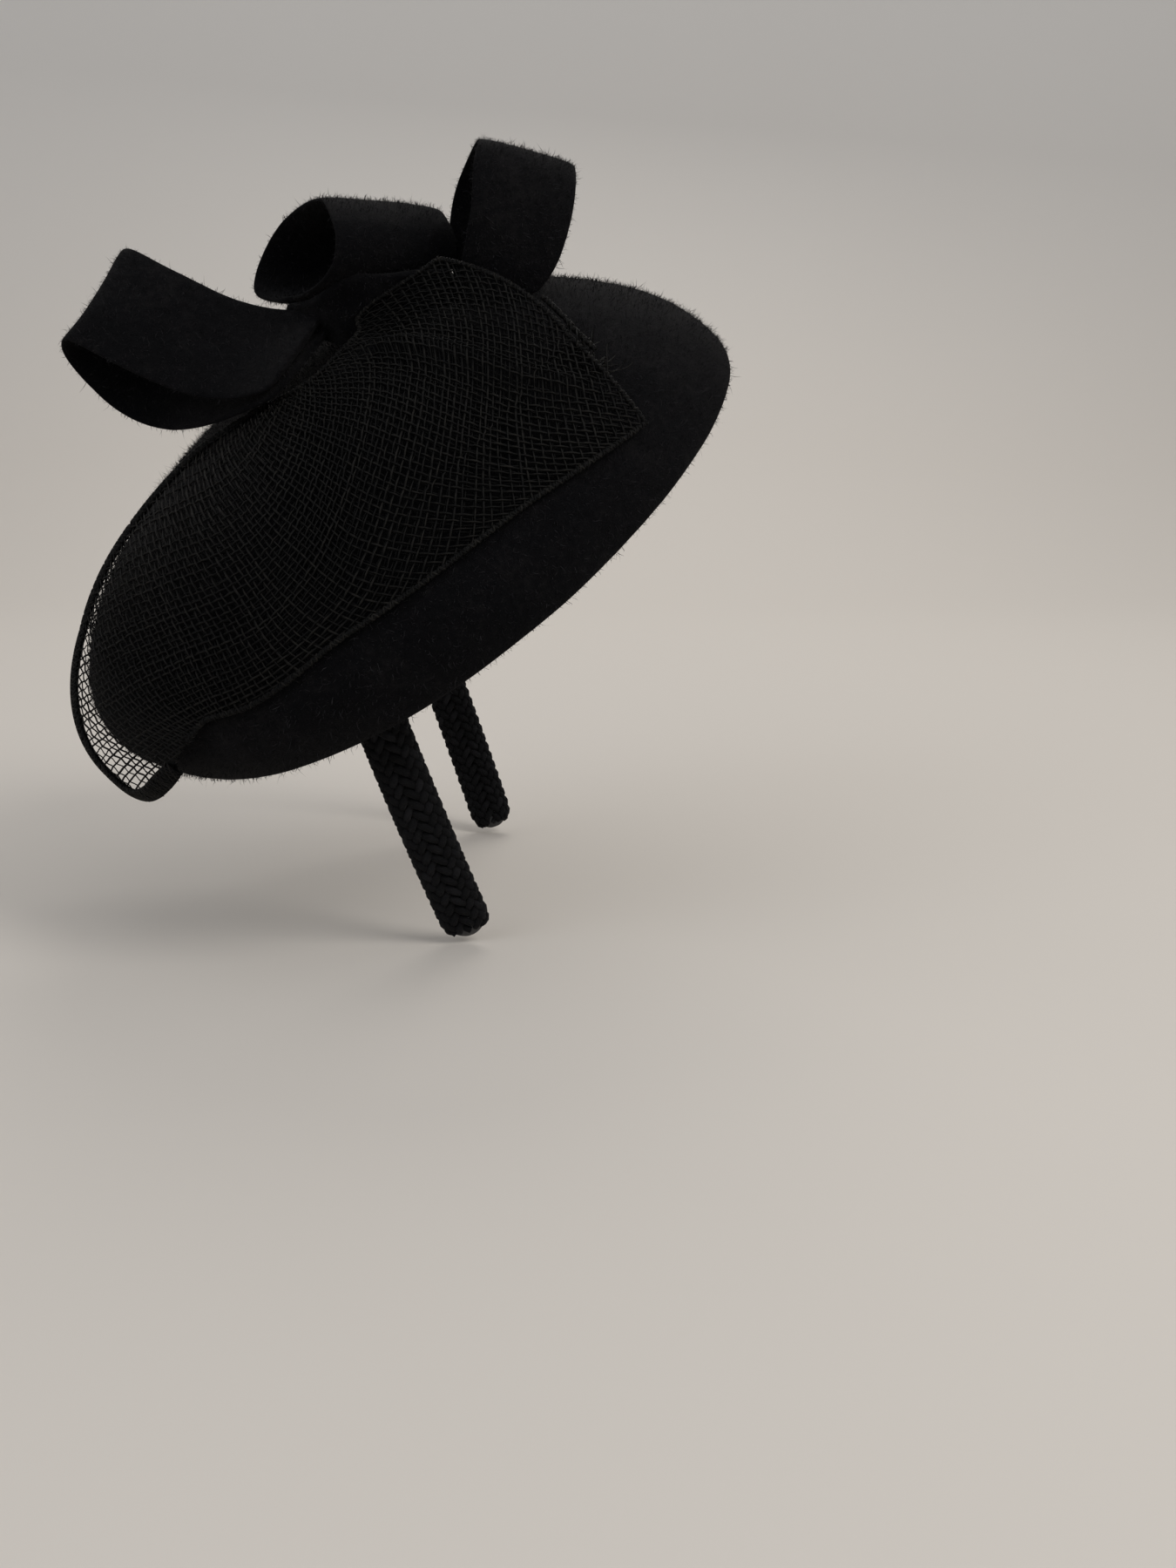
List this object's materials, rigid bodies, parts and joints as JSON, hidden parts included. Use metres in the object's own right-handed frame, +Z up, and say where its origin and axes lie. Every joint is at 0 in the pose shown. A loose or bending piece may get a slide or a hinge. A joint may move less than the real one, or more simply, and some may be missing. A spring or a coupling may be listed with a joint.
{
  "type": "fascinator",
  "caption": "Tilted felt cocktail hat with a draped open-weave straw swathe and standing felt strip loops, worn on a braided sprung headband.",
  "frame": {"origin": "head seat: the inner face of the headband at the top of its arch, where it sits on the wearer's head", "axes": "+X towards the wearer's front, +Y towards the wearer's left, +Z up"},
  "size_m": [0.1675, 0.1649, 0.191],
  "materials": {
    "felt": "matt fuzzy wool felt",
    "sinamay": "stiffened open straw weave with a slight sheen",
    "braid": "chunky plaited yarn",
    "tip": "smooth satin cap"
  },
  "bodies": {
    "root": {"felt_crown": "felt", "loop_rear": "felt", "loop_middle": "felt", "loop_front": "felt", "sinamay_drape": "sinamay", "headband": "braid", "band_tip_left": "tip", "band_tip_right": "tip"}
  },
  "joints": []
}
